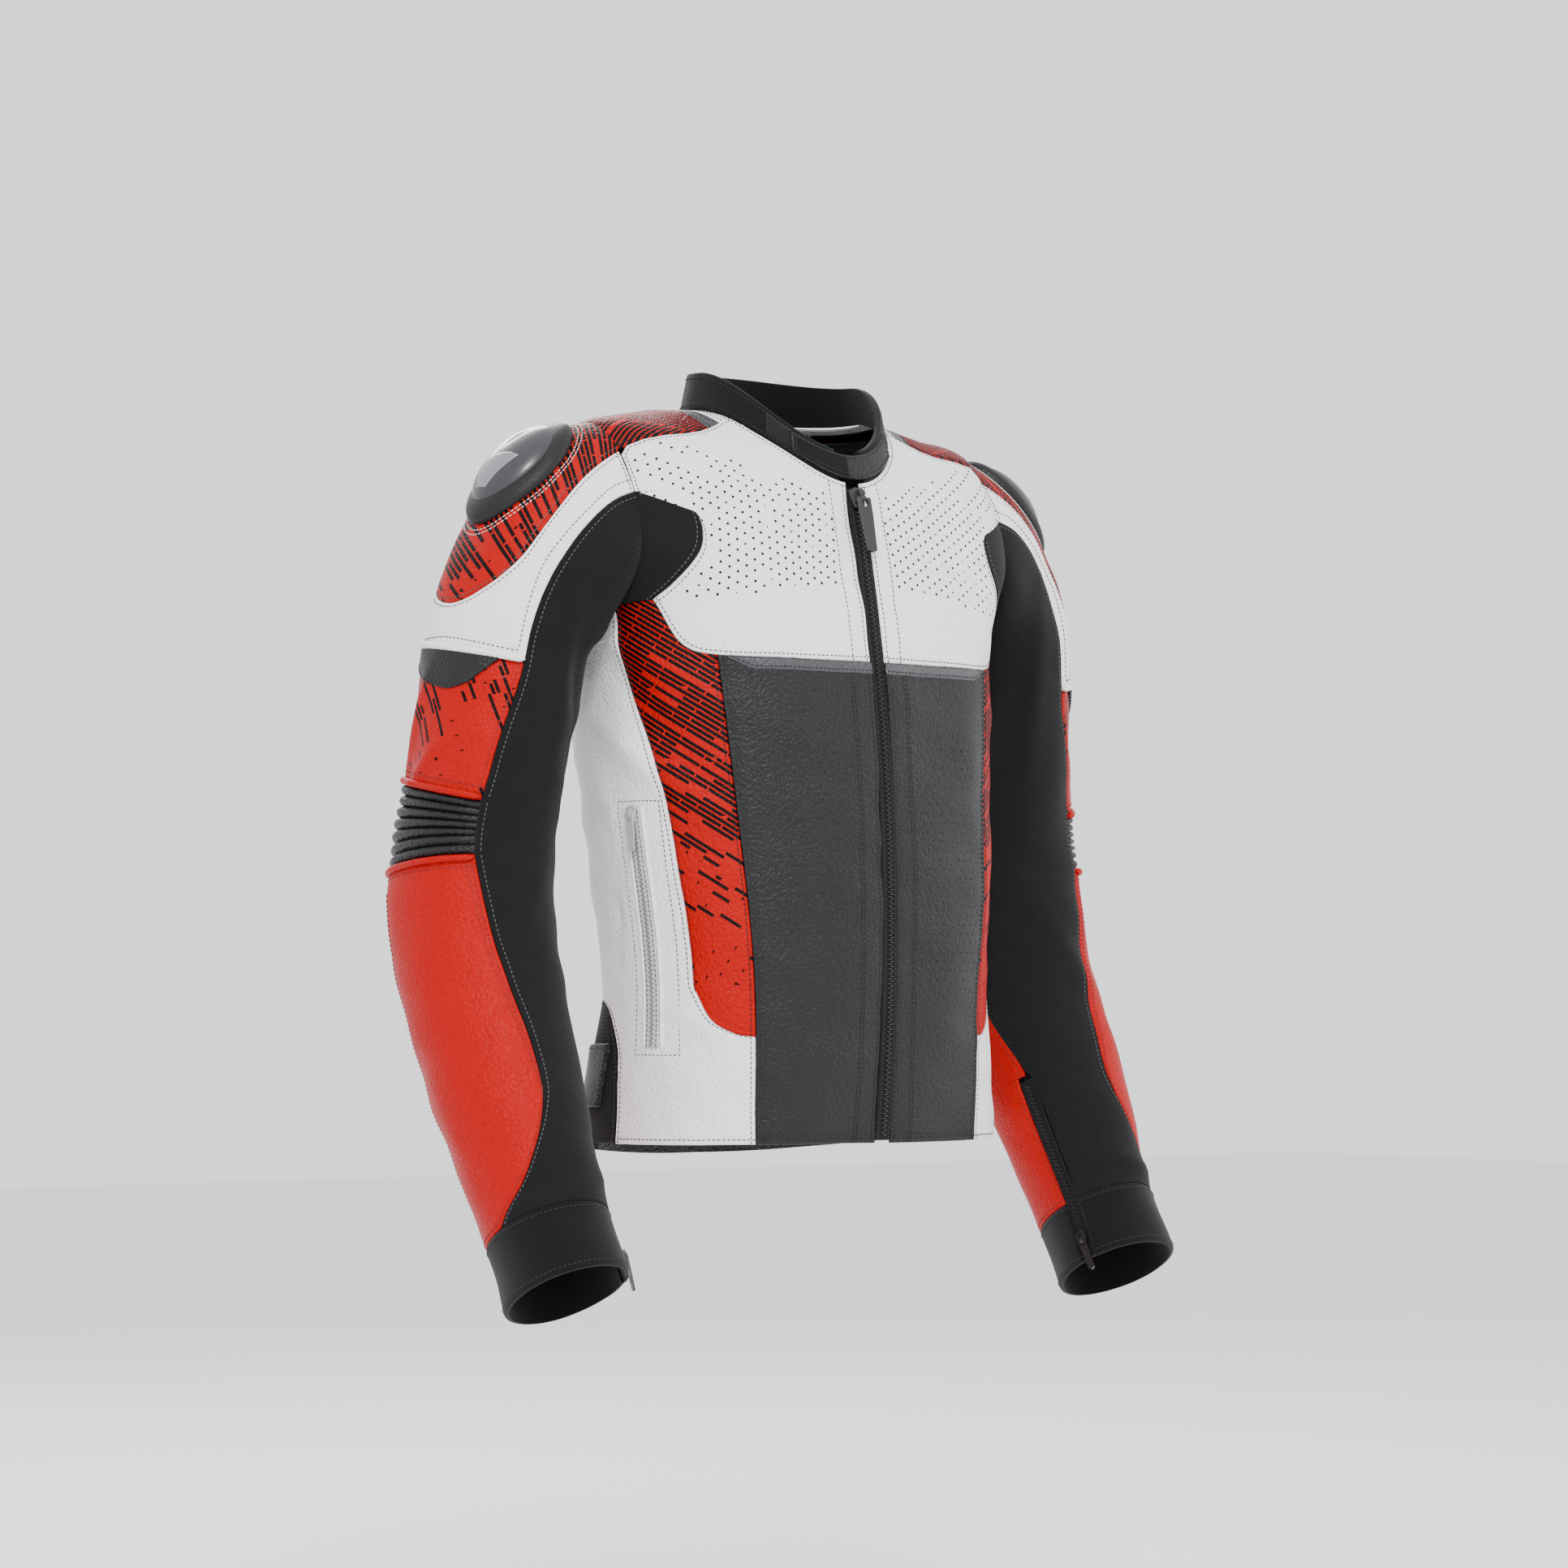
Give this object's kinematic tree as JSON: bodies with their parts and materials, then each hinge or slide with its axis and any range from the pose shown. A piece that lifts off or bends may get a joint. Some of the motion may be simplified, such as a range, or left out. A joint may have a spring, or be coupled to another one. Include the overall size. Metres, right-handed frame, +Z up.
{
  "type": "leather riding jacket",
  "caption": "Leather riding jacket shaped as worn, with stand collar, front zip, hard shoulder cups, ribbed elbows, stretch sleeve panels and zipped cuffs.",
  "frame": {"origin": "centre of the neck opening at the height of the collar seam", "axes": "+Z up along the body, -Y towards the wearer's front, +X towards the wearer's left"},
  "size_m": [0.5978, 0.2584, 0.6834],
  "materials": {
    "white_leather": "fine-grained, semi-gloss",
    "red_printed_leather": "fine-grained, semi-gloss, dark dash print",
    "charcoal_leather": "fine-grained, semi-matt",
    "stretch_textile": "matt woven stretch",
    "neoprene": "matt knitted-face neoprene",
    "black_zip": "satin",
    "white_zip": "satin",
    "slider_metal": "satin black",
    "hard_shell": "satin moulded",
    "armour_foam": "matt foam",
    "lining_mesh": "open mesh knit"
  },
  "bodies": {
    "torso": {"yoke_front_left": "white_leather", "yoke_front_right": "white_leather", "side_panel_left": "white_leather", "side_panel_right": "white_leather", "yoke_back": "white_leather", "chest_stretch_left": "stretch_textile", "chest_stretch_right": "stretch_textile", "waist_gusset_left": "stretch_textile", "waist_gusset_right": "stretch_textile", "belly_panel_left": "charcoal_leather", "belly_panel_right": "charcoal_leather", "back_panel": "charcoal_leather", "flank_print_left": "red_printed_leather", "flank_print_right": "red_printed_leather", "shoulder_saddle_left": "red_printed_leather", "shoulder_saddle_right": "red_printed_leather", "collar": "neoprene", "front_zip": "black_zip", "trouser_zip": "black_zip", "pocket_zip_left": "white_zip", "pocket_zip_right": "white_zip", "back_protector": "armour_foam", "mesh_lining": "lining_mesh"},
    "upper_arm_left": {"shoulder_print_left": "red_printed_leather", "shoulder_band_left": "white_leather", "shoulder_cup_left": "hard_shell", "bicep_print_left": "red_printed_leather", "arm_stretch_upper_left": "stretch_textile", "elbow_ribs_left": "charcoal_leather", "elbow_stretch_left": "stretch_textile", "sleeve_lining_left": "lining_mesh", "shoulder_protector_left": "armour_foam"},
    "forearm_left": {"forearm_panel_left": "red_printed_leather", "arm_stretch_lower_left": "stretch_textile", "cuff_left": "neoprene", "cuff_zip_left": "black_zip", "elbow_protector_left": "armour_foam"},
    "upper_arm_right": {"shoulder_print_right": "red_printed_leather", "shoulder_band_right": "white_leather", "shoulder_cup_right": "hard_shell", "bicep_print_right": "red_printed_leather", "arm_stretch_upper_right": "stretch_textile", "elbow_ribs_right": "charcoal_leather", "elbow_stretch_right": "stretch_textile", "sleeve_lining_right": "lining_mesh", "shoulder_protector_right": "armour_foam"},
    "forearm_right": {"forearm_panel_right": "red_printed_leather", "arm_stretch_lower_right": "stretch_textile", "cuff_right": "neoprene", "cuff_zip_right": "black_zip", "elbow_protector_right": "armour_foam"},
    "zip_slider": {"front_slider": "slider_metal"},
    "zip_pull": {"front_pull": "charcoal_leather"},
    "collar_strap": {"collar_tab": "charcoal_leather"},
    "pocket_puller_left": {"pocket_puller_left": "white_zip"},
    "cuff_puller_left": {"cuff_puller_left": "slider_metal"},
    "waist_strap_left": {"waist_strap_left": "charcoal_leather"},
    "pocket_puller_right": {"pocket_puller_right": "white_zip"},
    "cuff_puller_right": {"cuff_puller_right": "slider_metal"},
    "waist_strap_right": {"waist_strap_right": "charcoal_leather"}
  },
  "joints": [
    {"name": "shoulder_swing_left", "type": "hinge", "parent": "torso", "child": "upper_arm_left", "pos_m": [0.164, 0.028, -0.063], "axis": [-1, 0, 0], "range_deg": [-15, 30]},
    {"name": "elbow_flex_left", "type": "hinge", "parent": "upper_arm_left", "child": "forearm_left", "pos_m": [0.238, 0.0525, -0.285], "axis": [-1, 0, 0], "range_deg": [-12, 30], "deforming": ["elbow_ribs_left", "elbow_stretch_left", "sleeve_lining_left"]},
    {"name": "pocket_zip_run_left", "type": "slide", "parent": "torso", "child": "pocket_puller_left", "axis": [-0.0404, -0.0886, -0.9952], "range_m": [0, 0.148]},
    {"name": "cuff_zip_run_left", "type": "slide", "parent": "forearm_left", "child": "cuff_puller_left", "axis": [-0.0513, 0.4551, 0.889], "range_m": [0, 0.095]},
    {"name": "waist_strap_shift_left", "type": "hinge", "parent": "torso", "child": "waist_strap_left", "pos_m": [0.055, 0.022, -0.457], "axis": [0, 0, 1], "range_deg": [0, 5]},
    {"name": "shoulder_swing_right", "type": "hinge", "parent": "torso", "child": "upper_arm_right", "pos_m": [-0.164, 0.028, -0.063], "axis": [-1, 0, 0], "range_deg": [-15, 30]},
    {"name": "elbow_flex_right", "type": "hinge", "parent": "upper_arm_right", "child": "forearm_right", "pos_m": [-0.238, 0.0525, -0.285], "axis": [-1, 0, 0], "range_deg": [-12, 30], "deforming": ["elbow_ribs_right", "elbow_stretch_right", "sleeve_lining_right"]},
    {"name": "pocket_zip_run_right", "type": "slide", "parent": "torso", "child": "pocket_puller_right", "axis": [0.0404, -0.0886, -0.9952], "range_m": [0, 0.148]},
    {"name": "cuff_zip_run_right", "type": "slide", "parent": "forearm_right", "child": "cuff_puller_right", "axis": [0.0513, 0.4551, 0.889], "range_m": [0, 0.095]},
    {"name": "waist_strap_shift_right", "type": "hinge", "parent": "torso", "child": "waist_strap_right", "pos_m": [-0.055, 0.022, -0.457], "axis": [0, 0, -1], "range_deg": [0, 5]},
    {"name": "front_zip_run", "type": "hinge", "parent": "torso", "child": "zip_slider", "pos_m": [0, 1.084, -0.355], "axis": [1, 0, 0], "range_deg": [0, 21.4]},
    {"name": "zip_pull_swing", "type": "hinge", "parent": "zip_slider", "child": "zip_pull", "pos_m": [0, -0.08443, -0.04563], "axis": [-1, 0, 0], "range_deg": [0, 95]},
    {"name": "collar_strap_open", "type": "hinge", "parent": "torso", "child": "collar_strap", "pos_m": [0.0453, -0.0542, -0.012], "axis": [-0.0502, 0.2209, 0.974], "range_deg": [0, 90]}
  ]
}
